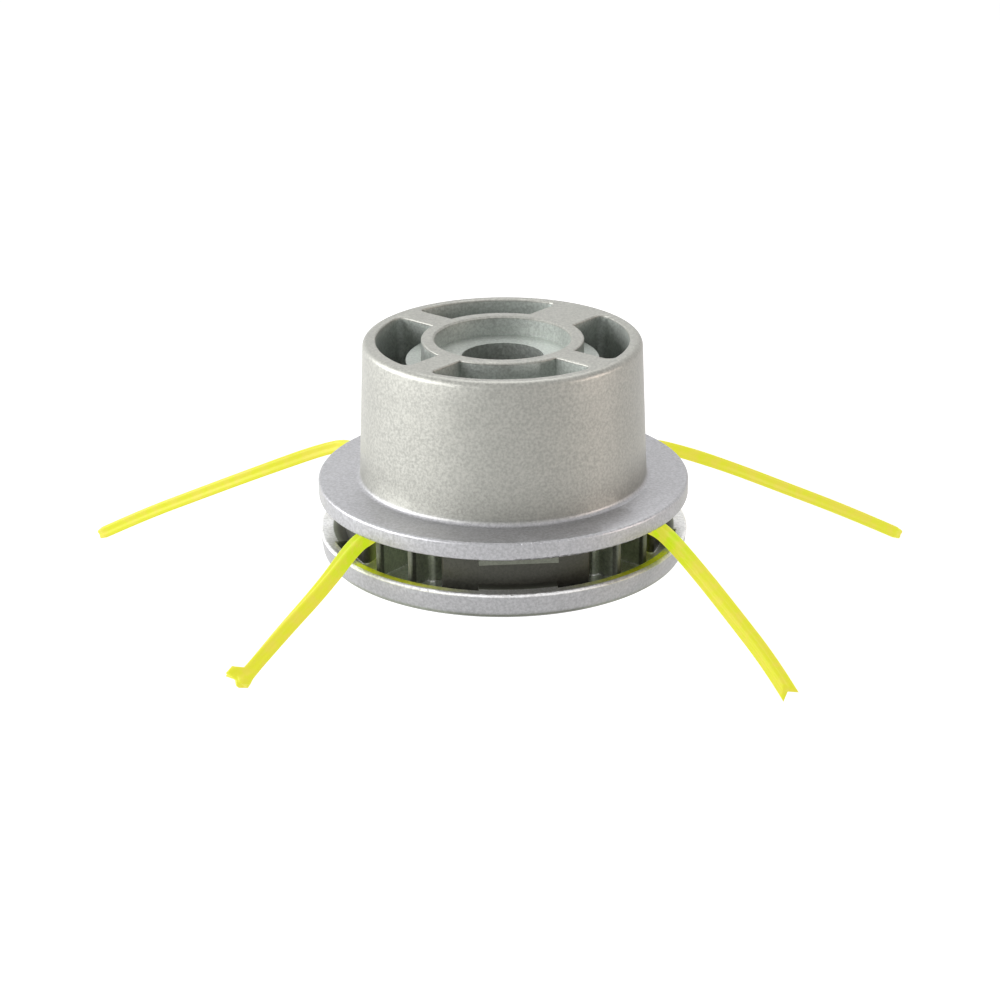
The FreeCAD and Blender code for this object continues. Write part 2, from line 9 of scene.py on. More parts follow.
import bmesh
import bpy
from mathutils import Euler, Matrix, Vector


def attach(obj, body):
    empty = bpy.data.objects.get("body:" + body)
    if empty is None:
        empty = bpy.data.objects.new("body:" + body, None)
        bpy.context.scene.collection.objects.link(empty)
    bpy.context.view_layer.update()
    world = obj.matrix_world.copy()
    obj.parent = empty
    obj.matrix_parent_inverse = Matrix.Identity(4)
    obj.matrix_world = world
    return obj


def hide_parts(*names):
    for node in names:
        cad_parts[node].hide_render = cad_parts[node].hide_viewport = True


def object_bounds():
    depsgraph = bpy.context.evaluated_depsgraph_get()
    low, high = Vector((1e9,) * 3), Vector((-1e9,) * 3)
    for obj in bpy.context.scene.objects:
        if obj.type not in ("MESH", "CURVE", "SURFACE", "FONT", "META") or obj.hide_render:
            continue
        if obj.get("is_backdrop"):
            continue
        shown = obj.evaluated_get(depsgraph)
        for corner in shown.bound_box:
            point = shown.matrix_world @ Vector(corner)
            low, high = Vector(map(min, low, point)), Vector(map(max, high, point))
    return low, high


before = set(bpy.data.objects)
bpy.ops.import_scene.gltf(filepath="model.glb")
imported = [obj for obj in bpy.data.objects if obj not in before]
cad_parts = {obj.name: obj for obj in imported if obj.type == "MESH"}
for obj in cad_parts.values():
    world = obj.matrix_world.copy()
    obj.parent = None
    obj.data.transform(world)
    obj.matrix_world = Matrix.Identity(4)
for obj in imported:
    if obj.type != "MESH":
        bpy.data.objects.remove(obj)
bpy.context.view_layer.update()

bl_info = {
    "name": "Trimmer head looks",
    "version": (1, 0, 0),
    "blender": (4, 5, 0),
    "location": "View3D > Sidebar > Head",
    "description": "Finishes a packed trimmer head: castings, screws, cutting line and studio",
    "category": "Object",
}

BODY = "root"
MM = 0.001

# Where each stub of line runs, from the end of its held bend to its tip
ROUTES = {
    "front_left": [
        (-0.0234, -0.0123, -0.0283),
        (-0.0260, -0.0168, -0.0283),
        (-0.0288, -0.0206, -0.0283),
        (-0.0346, -0.0266, -0.0337),
        (-0.0435, -0.0343, -0.0403),
        (-0.0500, -0.0414, -0.0451),
    ],
    "front_right": [
        (0.0234, -0.0123, -0.0283),
        (0.0258, -0.0165, -0.0283),
        (0.0282, -0.0202, -0.0285),
        (0.0336, -0.0276, -0.0336),
        (0.0383, -0.0356, -0.0383),
        (0.0439, -0.0433, -0.0445),
        (0.0468, -0.0476, -0.0489),
    ],
    "back_left": [
        (-0.0234, 0.0123, -0.0283),
        (-0.0271, 0.0187, -0.0283),
        (-0.0282, 0.0312, -0.0283),
        (-0.0336, 0.0356, -0.0307),
        (-0.0460, 0.0394, -0.0363),
        (-0.0603, 0.0476, -0.0445),
        (-0.0724, 0.0556, -0.0519),
        (-0.0819, 0.0619, -0.0584),
    ],
    "back_right": [
        (0.0234, 0.0123, -0.0283),
        (0.0265, 0.0177, -0.0283),
        (0.0312, 0.0258, -0.0283),
        (0.0376, 0.0282, -0.0308),
        (0.0474, 0.0292, -0.0347),
        (0.0626, 0.0346, -0.0430),
        (0.0768, 0.0413, -0.0513),
        (0.0894, 0.0478, -0.0594),
    ],
}

# How far each stub's section has turned at its bend and at its tip, in degrees
TURNS = {
    "front_left": (50.0, -8.0),
    "front_right": (36.0, 49.0),
    "back_left": (-58.0, -49.0),
    "back_right": (60.0, 47.0),
}

# The bends held inside the head, round the backs of the side islands
LOOP_CENTRE = 0.0447
LOOP_RADIUS = 0.0246
LOOP_LEVEL = -0.02826
LOOP_HALF_ANGLE = 30.0
LOOP_STEPS = 48

# How finely a route and the line's section are drawn
ROUTE_STEPS = 14
LINE_SIDES = 32

# Distances that weld a casting's loose triangles, and the angle past which its edges stay crisp
WELD = 1e-6
SLIVER = 1e-7
SHARP_ANGLE = math.radians(28)

# The camera that was fitted to the photo, turned in degrees
CAMERA_PLACE = (-0.03533, -0.42975, 0.14513)
CAMERA_TILT = (68.017, 0.314, -4.741)
CAMERA_LENS = 87.87
SENSOR_WIDTH = 36.0
NEAREST_SEEN = 0.01

# Soft boxes: name, place, width, height, the setting that holds the power, and tint
AIM = (0, 0, -0.015)
WHITE_LIGHT = (1.0, 1.0, 1.0)
WARM_LIGHT = (1.0, 0.84, 0.76)
LAMPS = (
    ("left_soft_box", (-0.624, -0.066, 0.153), 0.95, 0.38, "left_power", WHITE_LIGHT),
    ("right_soft_box", (0.614, -0.199, 0.064), 0.20, 0.16, "right_power", WARM_LIGHT),
    ("top_soft_box", (0.053, 0.300, 0.559), 0.50, 0.40, "top_power", WHITE_LIGHT),
)

# The floor, and how much it is lifted where it is seen directly
FLOOR_HALF_WIDTH = 3.0
FLOOR_COLOUR = (0.45, 0.45, 0.45, 1)
FLOOR_LIFT = 0.93


class TrimmerLine(bpy.types.PropertyGroup):
    """Sizes and colours of the cutting line."""

    corner_radius: bpy.props.FloatProperty(
        name="Corner radius",
        description="From the middle of the line to the crest of one of its four corners",
        default=1.60 * MM,
        min=0.5 * MM,
        max=3 * MM,
        unit="LENGTH",
        precision=5,
    )
    hollow: bpy.props.FloatProperty(
        name="Hollow",
        description="How much nearer the middle of each side lies than the corners",
        default=0.54 * MM,
        min=0.0,
        max=1 * MM,
        unit="LENGTH",
        precision=5,
    )
    diameter: bpy.props.FloatProperty(
        name="Nominal diameter",
        description="Diameter that the line is declared with",
        default=2.8 * MM,
        min=1 * MM,
        max=5 * MM,
        unit="LENGTH",
        precision=5,
    )
    colour: bpy.props.FloatVectorProperty(
        name="Line colour",
        description="Fluorescent yellow of the free line",
        subtype="COLOR",
        size=4,
        min=0.0,
        max=1.0,
        default=(0.19, 0.20, 0.010, 1.0),
    )
    root_colour: bpy.props.FloatVectorProperty(
        name="Colour in the head",
        description="Greener tone of the line inside and close to the head",
        subtype="COLOR",
        size=4,
        min=0.0,
        max=1.0,
        default=(0.12, 0.17, 0.004, 1.0),
    )
    # Painted light: the glow is partly the nylon's fluorescence and partly painted light that evens out its
    # shading
    glow: bpy.props.FloatVectorProperty(
        name="Glow",
        description="Light that the fluorescent line gives off",
        subtype="COLOR",
        size=4,
        min=0.0,
        max=1.0,
        default=(0.67, 0.67, 0.035, 1.0),
    )
    # Painted light: this glow keeps the line bright in the shade inside and close to the head
    root_glow: bpy.props.FloatVectorProperty(
        name="Glow in the head",
        description="Greener light of the line inside and close to the head",
        subtype="COLOR",
        size=4,
        min=0.0,
        max=1.0,
        default=(0.55, 0.70, 0.016, 1.0),
    )


class CastFinish(bpy.types.PropertyGroup):
    """Colours and grain of the blasted aluminium."""

    barrel_colour: bpy.props.FloatVectorProperty(
        name="Barrel colour",
        description="Warm light grey of the barrel and its top",
        subtype="COLOR",
        size=4,
        min=0.0,
        max=1.0,
        default=(0.435, 0.435, 0.40, 1.0),
    )
    flange_colour: bpy.props.FloatVectorProperty(
        name="Flange colour",
        description="Cooler grey of the flange and the disc",
        subtype="COLOR",
        size=4,
        min=0.0,
        max=1.0,
        default=(0.47, 0.47, 0.49, 1.0),
    )
    # Painted shade: the barrel is painted darker towards its foot, next to the flange
    foot_shade_colour: bpy.props.FloatVectorProperty(
        name="Foot colour",
        description="Duller skin towards the foot of the barrel",
        subtype="COLOR",
        size=4,
        min=0.0,
        max=1.0,
        default=(0.39, 0.39, 0.355, 1.0),
    )
    # Painted light: the faces inside the top's hollow are painted lighter, in place of light bounced into it
    core_light_colour: bpy.props.FloatVectorProperty(
        name="Core colour",
        description="Fresher skin of the faces inside the top, which no hand or dirt reaches",
        subtype="COLOR",
        size=4,
        min=0.0,
        max=1.0,
        default=(0.51, 0.54, 0.51, 1.0),
    )
    # Painted shade: the faces in the gap between the castings and in the nut well are painted dark
    hidden_shade_colour: bpy.props.FloatVectorProperty(
        name="Hidden faces",
        description="Dull dark skin of the faces between the castings and in the nut well",
        subtype="COLOR",
        size=4,
        min=0.0,
        max=1.0,
        default=(0.075, 0.075, 0.062, 1.0),
    )
    # Painted light: the hidden faces next to the mouth of the gap are painted lighter, where more light comes
    # in
    mouth_light_colour: bpy.props.FloatVectorProperty(
        name="Faces at the line's way out",
        description="Cleaner skin of the hidden faces next to the mouth of the gap",
        subtype="COLOR",
        size=4,
        min=0.0,
        max=1.0,
        default=(0.46, 0.50, 0.40, 1.0),
    )
    disc_side_colour: bpy.props.FloatVectorProperty(
        name="Disc's side",
        description="Darker metal of the disc's outer side",
        subtype="COLOR",
        size=4,
        min=0.0,
        max=1.0,
        default=(0.42, 0.42, 0.43, 1.0),
    )
    side_colour: bpy.props.FloatVectorProperty(
        name="Flange's side",
        description="Metal of the flange's outer side",
        subtype="COLOR",
        size=4,
        min=0.0,
        max=1.0,
        default=(0.455, 0.455, 0.47, 1.0),
    )
    # Painted light: the yellow-green glow that the line throws on the rim's top is painted on as a tint
    rim_glow_tint: bpy.props.FloatVectorProperty(
        name="Painted rim glow",
        description="Tint on the inner edge of the rim near the line",
        subtype="COLOR",
        size=4,
        min=0.0,
        max=1.0,
        default=(0.94, 1.0, 0.06, 1.0),
    )
    turned_colour: bpy.props.FloatVectorProperty(
        name="Turned faces",
        description="Brighter and smoother rim and dish floor of the disc",
        subtype="COLOR",
        size=4,
        min=0.0,
        max=1.0,
        default=(0.88, 0.88, 0.88, 1.0),
    )
    grain_size: bpy.props.FloatProperty(
        name="Grain size",
        description="Width of one pit of the blasted skin",
        default=0.50 * MM,
        min=0.05 * MM,
        max=2 * MM,
        unit="LENGTH",
        precision=5,
    )
    grain_depth: bpy.props.FloatProperty(
        name="Grain depth",
        description="Depth of the blasted skin",
        default=0.030 * MM,
        min=0.0,
        max=0.5 * MM,
        unit="LENGTH",
        precision=6,
    )


class Studio(bpy.types.PropertyGroup):
    """Light levels and the floor."""

    left_power: bpy.props.FloatProperty(
        name="Left soft box",
        description="Power of the large soft box on the left",
        default=6.0,
        min=0.0,
        unit="POWER",
    )
    right_power: bpy.props.FloatProperty(
        name="Right soft box",
        description="Power of the small warm soft box on the right",
        default=0.95,
        min=0.0,
        unit="POWER",
    )
    top_power: bpy.props.FloatProperty(
        name="Top light",
        description="Power of the soft box above and behind the head",
        default=1.35,
        min=0.0,
        unit="POWER",
    )
    surround: bpy.props.FloatProperty(
        name="Surround",
        description="Strength of the plain surrounding light",
        default=0.02,
        min=0.0,
        max=1.0,
    )
    floor_drop: bpy.props.FloatProperty(
        name="Floor gap",
        description="Gap between the lowest tip of line and the floor",
        default=0.4 * MM,
        min=0.0,
        unit="LENGTH",
        precision=5,
    )


def new_group(name, inputs, outputs):
    """An empty shader node group with named sockets; each entry is (name, socket type, default)."""
    group = bpy.data.node_groups.new(name, "ShaderNodeTree")
    for label, kind, value in inputs:
        socket = group.interface.new_socket(label, in_out="INPUT", socket_type=kind)
        if value is not None:
            socket.default_value = value
    for label, kind in outputs:
        group.interface.new_socket(label, in_out="OUTPUT", socket_type=kind)
    entry = group.nodes.new("NodeGroupInput")
    leave = group.nodes.new("NodeGroupOutput")
    return group, entry, leave


MOTTLES_PER_METRE = 260.0


def grain_group():
    """Fine pits and slow mottling on Object coordinates, for any cast or plated skin."""
    group, entry, leave = new_group(
        "blasted_grain",
        [
            ("Pits per metre", "NodeSocketFloat", 3000.0),
            ("Depth", "NodeSocketFloat", 0.00003),
            ("Mottle", "NodeSocketFloat", 0.5),
        ],
        [("Tone", "NodeSocketFloat"), ("Normal", "NodeSocketVector")],
    )
    nodes, links = group.nodes, group.links
    place = nodes.new("ShaderNodeTexCoord")
    pits = nodes.new("ShaderNodeTexNoise")
    pits.inputs["Detail"].default_value = 2.0
    pits.inputs["Roughness"].default_value = 0.65
    links.new(place.outputs["Object"], pits.inputs["Vector"])
    links.new(entry.outputs["Pits per metre"], pits.inputs["Scale"])
    mottle = nodes.new("ShaderNodeTexNoise")
    mottle.inputs["Scale"].default_value = MOTTLES_PER_METRE
    mottle.inputs["Detail"].default_value = 4.0
    links.new(place.outputs["Object"], mottle.inputs["Vector"])
    blend = nodes.new("ShaderNodeMix")
    links.new(entry.outputs["Mottle"], blend.inputs["Factor"])
    links.new(pits.outputs["Fac"], blend.inputs["A"])
    links.new(mottle.outputs["Fac"], blend.inputs["B"])
    links.new(blend.outputs["Result"], leave.inputs["Tone"])
    bump = nodes.new("ShaderNodeBump")
    bump.inputs["Strength"].default_value = 1.0
    links.new(entry.outputs["Depth"], bump.inputs["Distance"])
    links.new(pits.outputs["Fac"], bump.inputs["Height"])
    links.new(bump.outputs["Normal"], leave.inputs["Normal"])
    return group


def shared_group(name, maker):
    """The named group, made the first time that it is asked for."""
    return bpy.data.node_groups.get(name) or maker()


def new_material(name):
    """A material with an empty tree, its Principled shader and output joined."""
    material = bpy.data.materials.new(name)
    material.use_nodes = True
    nodes = material.node_tree.nodes
    nodes.clear()
    shader = nodes.new("ShaderNodeBsdfPrincipled")
    output = nodes.new("ShaderNodeOutputMaterial")
    material.node_tree.links.new(shader.outputs["BSDF"], output.inputs["Surface"])
    return material, nodes, material.node_tree.links, shader


def placed_group(nodes, group, **values):
    """A group's node with its own values; an underscore stands for a space in a socket's name."""
    node = nodes.new("ShaderNodeGroup")
    node.node_tree = group
    for label, value in values.items():
        node.inputs[label.replace("_", " ")].default_value = value
    return node


def mapped(nodes, links, source, low, high, to_low=0.0, to_high=1.0):
    """A value carried smoothly from one range to another."""
    node = nodes.new("ShaderNodeMapRange")
    node.interpolation_type = "SMOOTHSTEP"
    node.inputs["From Min"].default_value = low
    node.inputs["From Max"].default_value = high
    node.inputs["To Min"].default_value = to_low
    node.inputs["To Max"].default_value = to_high
    links.new(source, node.inputs["Value"])
    return node.outputs["Result"]


# Places of the factor and the two colours among a Mix node's inputs, and of the colour among its outputs
MIX_INPUTS = (0, 6, 7)
MIX_OUTPUT = 2


def mixed_colour(nodes, links, factor, first, second, blend="MIX"):
    """Two colours, each a socket or a plain value, mixed by a factor that is also either."""
    node = nodes.new("ShaderNodeMix")
    node.data_type = "RGBA"
    node.blend_type = blend
    for index, value in zip(MIX_INPUTS, (factor, first, second)):
        socket = node.inputs[index]
        if isinstance(value, bpy.types.NodeSocket):
            links.new(value, socket)
        else:
            socket.default_value = value
    return node.outputs[MIX_OUTPUT]


def combined(nodes, links, operation, first, second):
    """The result of one operation on two values, each a socket or a number."""
    node = nodes.new("ShaderNodeMath")
    node.operation = operation
    for socket, value in zip(node.inputs, (first, second)):
        if isinstance(value, bpy.types.NodeSocket):
            links.new(value, socket)
        else:
            socket.default_value = value
    return node.outputs[0]


# Heights and radii of the castings that the zones of the skin follow
TOP = 3.65 * MM
FLANGE_TOP = -23.15 * MM
FLANGE_UNDER = -26.55 * MM
RIM_TOP = -33.15 * MM
DISH_FLOOR = -35.35 * MM
UNDERSIDE = -38.25 * MM
SEAT_UNDER = -5.0 * MM
WELL_RADIUS = 14.5 * MM
CORE_RADIUS = 24.6 * MM
FOOT_START = -14.0 * MM
FOOT_END = -22.0 * MM
RIM_EDGE = 34.4 * MM
RIM_INNER = (32.3 * MM, 32.6 * MM)
EDGE = 0.15 * MM

# Where the hidden faces' painted shade lightens: near the diagonals, near the middle, and out to the guides'
# ends
DIAGONAL_SHARE = (0.405, 0.435)
INNER_REACH = (27.0 * MM, 29.6 * MM)
GUIDE_ENDS = (30.0 * MM, 30.3 * MM)
GUIDE_END_SHARE = 0.25

# The strip near the mouth of the gap: its radii, its turn from tab to guides,
# and how much each lightens the hidden faces' painted shade
MOUTH_REACH = (31.2 * MM, 32.6 * MM)
TAB_TURN = (0.30, 0.40)
TAB_SHARE = 0.28
BESIDE_SHARE = 0.55

# Where the painted glow of the line on the rim starts and ends, as shares of the radius that lie to the side
RIM_GLOW_START = (0.18, 0.60)
RIM_GLOW_END = (0.83, 0.88)


def zones_group():
    """Masks of the castings' skins on Object coordinates.

    Barrel and Foot grade the outside, Cored is the hollow of the top, and Hidden is the gap and the nut well.
    The colours on them are painted shade towards the foot, painted light in the hollow and painted shade in
    the gap. Mouth is where the hidden faces' painted shade is lighter. Turned is the rim and the dish floor,
    Rubbed the stretch of the rim with a painted glow of the line and Worn its outer brink with a painted
    highlight. Side is the outer side of the flange and the disc, and Upper tells the flange from the disc.
    """
    group, entry, leave = new_group(
        "casting_zones",
        [],
        [
            ("Barrel", "NodeSocketFloat"),
            ("Hidden", "NodeSocketFloat"),
            ("Mouth", "NodeSocketFloat"),
            ("Turned", "NodeSocketFloat"),
            ("Side", "NodeSocketFloat"),
            ("Rubbed", "NodeSocketFloat"),
            ("Worn", "NodeSocketFloat"),
            ("Cored", "NodeSocketFloat"),
            ("Upper", "NodeSocketFloat"),
            ("Foot", "NodeSocketFloat"),
        ],
    )
    nodes, links = group.nodes, group.links
    place = nodes.new("ShaderNodeTexCoord")
    split = nodes.new("ShaderNodeSeparateXYZ")
    links.new(place.outputs["Object"], split.inputs["Vector"])
    x, y, height = split.outputs
    x_square = combined(nodes, links, "POWER", x, 2.0)
    y_square = combined(nodes, links, "POWER", y, 2.0)
    squares = combined(nodes, links, "ADD", x_square, y_square)
    reach = combined(nodes, links, "SQRT", squares, 0.0)

    def above(level):
        return mapped(nodes, links, height, level - EDGE, level + EDGE)

    def below(level):
        return mapped(nodes, links, height, level - EDGE, level + EDGE, 1.0, 0.0)

    def within(radius):
        return mapped(nodes, links, reach, radius - EDGE, radius + EDGE, 1.0, 0.0)

    def both(first, second):
        return combined(nodes, links, "MULTIPLY", first, second)

    links.new(mapped(nodes, links, height, FLANGE_TOP, FLANGE_TOP + 8 * EDGE), leave.inputs["Barrel"])
    # The gap between the castings and the nut well, which get painted shade
    gap = both(both(above(UNDERSIDE + 3 * EDGE), below(FLANGE_UNDER + EDGE)), within(RIM_EDGE))
    well = both(below(SEAT_UNDER + 6 * EDGE), within(WELL_RADIUS + 2 * EDGE))
    hidden = combined(nodes, links, "MAXIMUM", gap, both(well, above(UNDERSIDE + 8 * EDGE)))
    links.new(hidden, leave.inputs["Hidden"])
    # Where the hidden faces' painted shade is lighter
    product = combined(nodes, links, "ABSOLUTE", combined(nodes, links, "MULTIPLY", x, y), 0.0)
    diagonal = mapped(nodes, links, combined(nodes, links, "DIVIDE", product, squares), *DIAGONAL_SHARE)
    inner = mapped(nodes, links, reach, *INNER_REACH, 1.0, 0.0)
    outer = mapped(nodes, links, reach, *MOUTH_REACH)
    walls = mapped(nodes, links, reach, *GUIDE_ENDS, 1.0, GUIDE_END_SHARE)
    less_shaded = both(combined(nodes, links, "MAXIMUM", diagonal, inner), walls)
    passage = both(less_shaded, below(FLANGE_UNDER + EDGE))
    sideways = combined(nodes, links, "DIVIDE", combined(nodes, links, "ABSOLUTE", x, 0.0), reach)
    beside = both(outer, mapped(nodes, links, sideways, *TAB_TURN, TAB_SHARE, BESIDE_SHARE))
    links.new(combined(nodes, links, "MAXIMUM", passage, beside), leave.inputs["Mouth"])
    rim_level = both(above(RIM_TOP - 3 * EDGE), below(RIM_TOP + EDGE))
    rim = both(rim_level, mapped(nodes, links, reach, *RIM_INNER))
    floor = both(above(DISH_FLOOR - 2 * EDGE), below(DISH_FLOOR + EDGE))
    turned = both(combined(nodes, links, "MAXIMUM", rim, floor), within(RIM_EDGE))
    links.new(turned, leave.inputs["Turned"])
    side = mapped(nodes, links, reach, RIM_EDGE, RIM_EDGE + EDGE)
    links.new(mapped(nodes, links, height, FOOT_END, FOOT_START, 1.0, 0.0), leave.inputs["Foot"])
    links.new(side, leave.inputs["Side"])
    links.new(above(FLANGE_UNDER), leave.inputs["Upper"])
    # The stretch of the rim that gets the painted glow of the line
    starts = mapped(nodes, links, sideways, *RIM_GLOW_START)
    ends = mapped(nodes, links, sideways, *RIM_GLOW_END, 1.0, 0.0)
    links.new(both(both(starts, ends), rim), leave.inputs["Rubbed"])
    links.new(both(within(CORE_RADIUS), below(TOP - 3 * EDGE)), leave.inputs["Cored"])
    # The rim's outer brink, which gets a painted highlight
    brink = mapped(nodes, links, reach, RIM_EDGE - EDGE, RIM_EDGE)
    links.new(both(rim_level, brink), leave.inputs["Worn"])
    return group


# The tones of the grain that count, and what they do to the castings
GRAIN_TONES = (0.3, 0.7)
CAST_TONES = (0.84, 1.16)
CAST_ROUGHNESS = (0.38, 0.50)
CAST_METAL = (0.60, 0.75)
CAST_MOTTLE = 0.10
TURNED_ROUGHNESS = 0.30
RIM_GLOW_METAL = 0.10
# Near white of the painted highlight on the rim's outer brink
BRINK_HIGHLIGHT_COLOUR = (0.95, 0.95, 0.95, 1)


def cast_material(finish):
    """Blasted cast aluminium: warm on the barrel, cooler from the flange down, painted shade in the gap."""
    material, nodes, links, shader = new_material("blasted_cast_aluminium")
    zones = placed_group(nodes, shared_group("casting_zones", zones_group))
    barrel, hidden, mouth, turned, side, glow_on_rim, brink_highlight, cored, upper, foot = zones.outputs
    side_skin = mixed_colour(nodes, links, upper, tuple(finish.disc_side_colour), tuple(finish.side_colour))
    flange_skin = mixed_colour(nodes, links, side, tuple(finish.flange_colour), side_skin)
    # Painted shade darkens the barrel towards its foot
    outside_skin = mixed_colour(nodes, links, foot, tuple(finish.barrel_colour), tuple(finish.foot_shade_colour))
    # Painted light in the hollow of the top
    barrel_skin = mixed_colour(nodes, links, cored, outside_skin, tuple(finish.core_light_colour))
    open_skin = mixed_colour(nodes, links, barrel, flange_skin, barrel_skin)
    # Painted shade on the hidden faces, painted lighter near the mouth of the gap
    inner_shade = mixed_colour(nodes, links, mouth, tuple(finish.hidden_shade_colour), tuple(finish.mouth_light_colour))
    skin = mixed_colour(nodes, links, hidden, open_skin, inner_shade)
    # Painted light: the line's glow on the rim, painted as a tint
    turned_and_painted_light = mixed_colour(nodes, links, glow_on_rim, tuple(finish.turned_colour), tuple(finish.rim_glow_tint))
    # Painted highlight on the rim's outer brink
    turned_and_painted_light = mixed_colour(nodes, links, brink_highlight, turned_and_painted_light, BRINK_HIGHLIGHT_COLOUR)
    bright = combined(nodes, links, "MAXIMUM", turned, brink_highlight)
    plain = mixed_colour(nodes, links, bright, skin, turned_and_painted_light)
    grain = placed_group(
        nodes,
        shared_group("blasted_grain", grain_group),
        Pits_per_metre=1 / finish.grain_size,
        Depth=finish.grain_depth,
        Mottle=CAST_MOTTLE,
    )
    tone = mapped(nodes, links, grain.outputs["Tone"], *GRAIN_TONES, *CAST_TONES)
    grey = nodes.new("ShaderNodeCombineColor")
    for channel in grey.inputs[:3]:
        links.new(tone, channel)
    toned = mixed_colour(nodes, links, 1.0, plain, grey.outputs[0], "MULTIPLY")
    links.new(toned, shader.inputs["Base Color"])
    rough = mapped(nodes, links, grain.outputs["Tone"], *GRAIN_TONES, *CAST_ROUGHNESS)
    smooth = nodes.new("ShaderNodeMix")
    links.new(turned, smooth.inputs["Factor"])
    links.new(rough, smooth.inputs["A"])
    smooth.inputs["B"].default_value = TURNED_ROUGHNESS
    links.new(smooth.outputs["Result"], shader.inputs["Roughness"])
    links.new(grain.outputs["Normal"], shader.inputs["Normal"])
    metal = combined(nodes, links, "MAXIMUM", turned, side)
    metal = mapped(nodes, links, metal, 0.0, 1.0, *CAST_METAL)
    # Less metal under the painted glow, so that its tint shows
    dull = mapped(nodes, links, glow_on_rim, 0.0, 1.0, 1.0, RIM_GLOW_METAL)
    links.new(combined(nodes, links, "MULTIPLY", metal, dull), shader.inputs["Metallic"])
    return material


# Plating of the screws
PLATING_PITS_PER_METRE = 4200.0
PLATING_DEPTH = 0.000006
PLATING_MOTTLE = 0.6
PLATING_DARK = (0.22, 0.22, 0.235, 1)
PLATING_LIGHT = (0.42, 0.42, 0.44, 1)
PLATING_ROUGHNESS = (0.28, 0.42)


def screw_material():
    """Zinc-plated steel, darker than the castings."""
    material, nodes, links, shader = new_material("zinc_plated_steel")
    grain = placed_group(
        nodes,
        shared_group("blasted_grain", grain_group),
        Pits_per_metre=PLATING_PITS_PER_METRE,
        Depth=PLATING_DEPTH,
        Mottle=PLATING_MOTTLE,
    )
    shade = mixed_colour(nodes, links, grain.outputs["Tone"], PLATING_DARK, PLATING_LIGHT)
    links.new(shade, shader.inputs["Base Color"])
    rough = mapped(nodes, links, grain.outputs["Tone"], *GRAIN_TONES, *PLATING_ROUGHNESS)
    links.new(rough, shader.inputs["Roughness"])
    links.new(grain.outputs["Normal"], shader.inputs["Normal"])
    shader.inputs["Metallic"].default_value = 1.0
    return material


# The nylon: how far along it turns from green to yellow, its paler and warmer clouds, and its skin
GREEN_REACH = (9 * MM, 22 * MM)
CLOUDS_PER_METRE = 420.0
CLOUD_DETAIL = 3.0
PALE_CLOUDS = (0.35, 0.75, 0.0, 0.22)
PALE_COLOUR = (0.24, 0.22, 0.09, 1)
WARM_CLOUDS = (0.40, 0.65, 0.0, 0.55)
WARM_GLOW = (0.74, 0.59, 0.085, 1)
NYLON_ROUGHNESS = 0.38
NYLON_SPECULAR = 0.20
NYLON_DEPTH = 0.0011
NYLON_SCATTER = 0.35
NYLON_RADIUS = (1.0, 0.9, 0.15)
NYLON_BUMP = 0.00004
NYLON_BUMP_STRENGTH = 0.6


def line_material(line):
    """Fluorescent nylon with a mild glow: yellow on the free stubs, greener towards the head.

    The glow is partly the nylon's fluorescence and partly painted light that evens out its shading.
    """
    material, nodes, links, shader = new_material("fluorescent_nylon_line")
    along = nodes.new("ShaderNodeAttribute")
    along.attribute_name = "along"
    distance = mapped(nodes, links, along.outputs["Fac"], *GREEN_REACH)
    plain = mixed_colour(nodes, links, distance, tuple(line.root_colour), tuple(line.colour))
    place = nodes.new("ShaderNodeTexCoord")
    cloud = nodes.new("ShaderNodeTexNoise")
    cloud.inputs["Scale"].default_value = CLOUDS_PER_METRE
    cloud.inputs["Detail"].default_value = CLOUD_DETAIL
    links.new(place.outputs["Object"], cloud.inputs["Vector"])
    paler = mapped(nodes, links, cloud.outputs["Fac"], *PALE_CLOUDS)
    tinted = mixed_colour(nodes, links, paler, plain, PALE_COLOUR)
    links.new(tinted, shader.inputs["Base Color"])
    # Painted light: the glow evens out the line's shading and keeps it bright in the head's shade
    glow = mixed_colour(nodes, links, distance, tuple(line.root_glow), tuple(line.glow))
    warmer = mapped(nodes, links, cloud.outputs["Fac"], *WARM_CLOUDS)
    light = mixed_colour(nodes, links, warmer, glow, WARM_GLOW)
    links.new(light, shader.inputs["Emission Color"])
    shader.inputs["Emission Strength"].default_value = 1.0
    shader.inputs["Roughness"].default_value = NYLON_ROUGHNESS
    shader.inputs["Specular IOR Level"].default_value = NYLON_SPECULAR
    shader.inputs["Subsurface Weight"].default_value = NYLON_SCATTER
    shader.inputs["Subsurface Radius"].default_value = NYLON_RADIUS
    shader.inputs["Subsurface Scale"].default_value = NYLON_DEPTH
    bump = nodes.new("ShaderNodeBump")
    bump.inputs["Distance"].default_value = NYLON_BUMP
    bump.inputs["Strength"].default_value = NYLON_BUMP_STRENGTH
    links.new(cloud.outputs["Fac"], bump.inputs["Height"])
    links.new(bump.outputs["Normal"], shader.inputs["Normal"])
    return material


def seated(piece, slot, *replaced):
    """Ties a finished piece to the head's one body."""
    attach(piece, BODY)
    if replaced:
        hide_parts(*replaced)


def merged_copy(node_name, piece_name):
    """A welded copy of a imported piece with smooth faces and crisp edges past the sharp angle."""
    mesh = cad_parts[node_name].data.copy()
    mesh.name = piece_name
    bm = bmesh.new()
    bm.from_mesh(mesh)
    bmesh.ops.remove_doubles(bm, verts=bm.verts, dist=WELD)
    bmesh.ops.dissolve_degenerate(bm, dist=SLIVER, edges=bm.edges)
    for face in bm.faces:
        face.smooth = True
    for edge in bm.edges:
        edge.smooth = len(edge.link_faces) == 2 and edge.calc_face_angle(0.0) < SHARP_ANGLE
    bm.to_mesh(mesh)
    bm.free()
    piece = bpy.data.objects.new(piece_name, mesh)
    bpy.context.scene.collection.objects.link(piece)
    return piece


